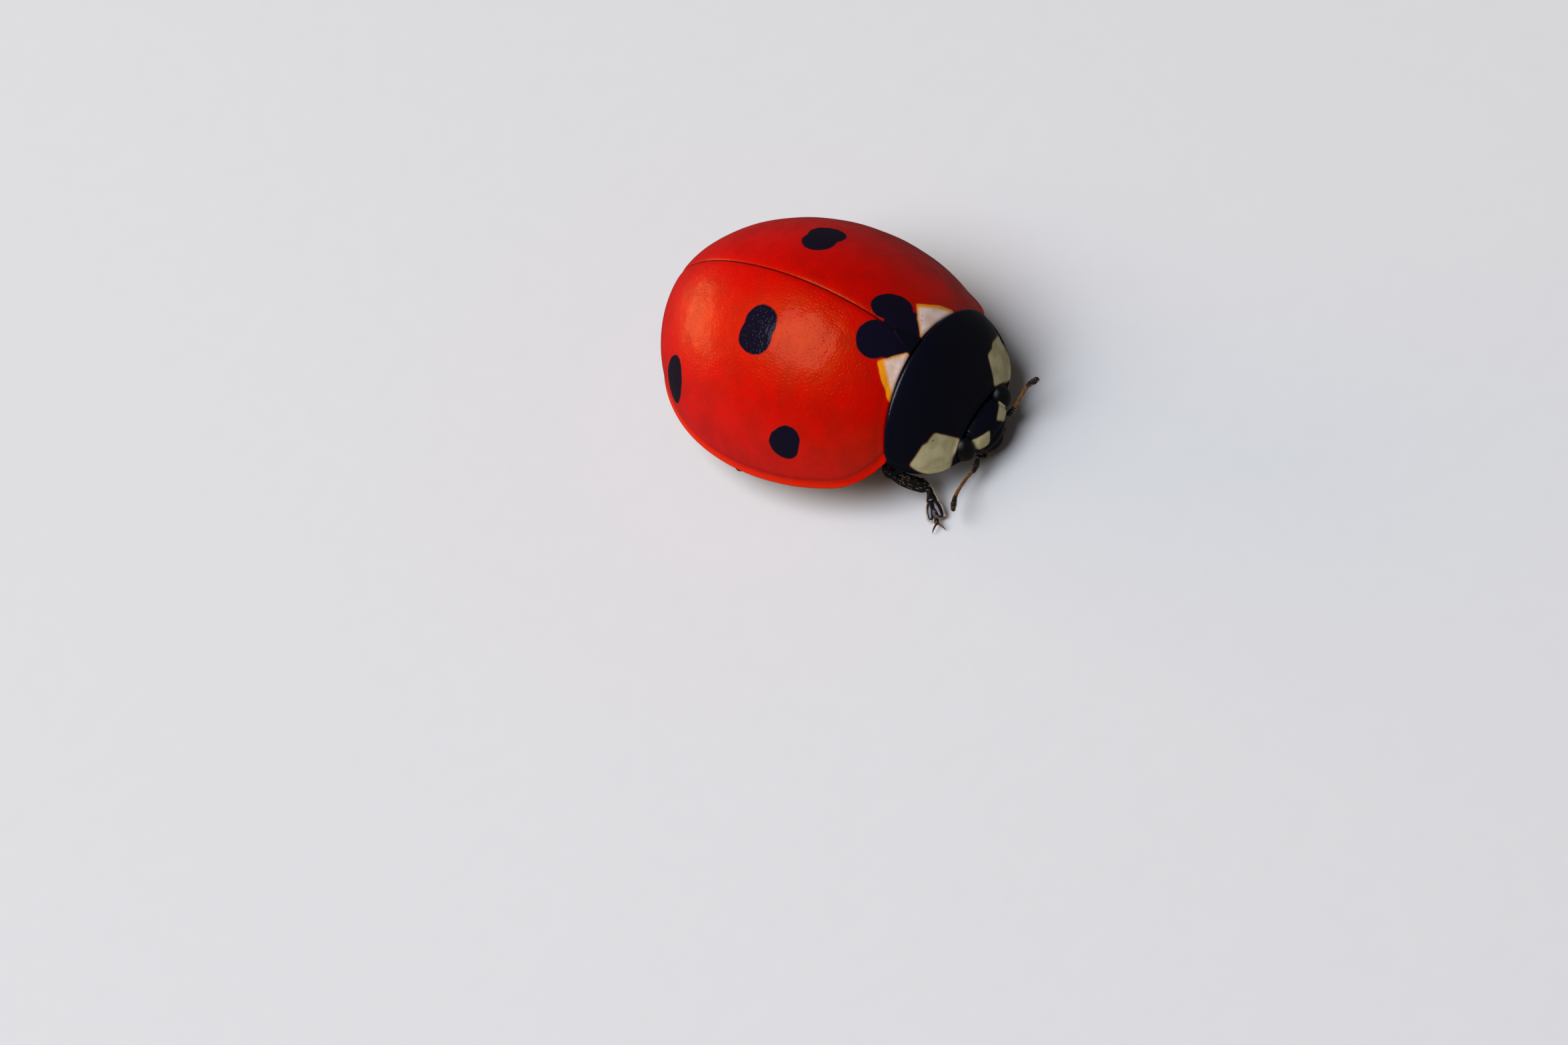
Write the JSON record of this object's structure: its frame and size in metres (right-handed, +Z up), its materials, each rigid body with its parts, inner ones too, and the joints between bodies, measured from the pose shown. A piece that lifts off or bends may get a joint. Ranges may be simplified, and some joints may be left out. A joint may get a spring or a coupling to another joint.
{
  "type": "ladybird",
  "caption": "Spotted ladybird beetle standing on its feet, as a still life-size model: domed wing cases, broad shield behind a bent-down head, short clubbed antennae.",
  "frame": {"origin": "on the ground, at the middle of the ground that the animal covers", "axes": "+Z up, -Y the way the animal faces, +X to the animal's left"},
  "size_m": [0.0058, 0.0082, 0.004],
  "materials": {
    "wing_case": "glossy red wing-case cuticle with round black spots and a cream patch each side of the scutellum",
    "cuticle": "glossy black cuticle, finely pitted, with cream patches on the pronotum's front corners and beside the eyes",
    "eye": "black faceted compound eye, glossy",
    "leg": "shiny black leg cuticle with short pale hairs and reddish-brown claws",
    "antenna": "brown antennal cuticle, dark at the root and the club, with fine hairs"
  },
  "bodies": {
    "root": {"head": "cuticle", "eye_left": "eye", "eye_right": "eye", "antenna_left": "antenna", "antenna_right": "antenna", "pronotum": "cuticle", "elytron_left": "wing_case", "elytron_right": "wing_case", "thorax": "cuticle", "abdomen": "cuticle", "leg_fore_left": "leg", "leg_fore_right": "leg", "leg_mid_left": "leg", "leg_mid_right": "leg", "leg_hind_left": "leg", "leg_hind_right": "leg"}
  },
  "joints": []
}
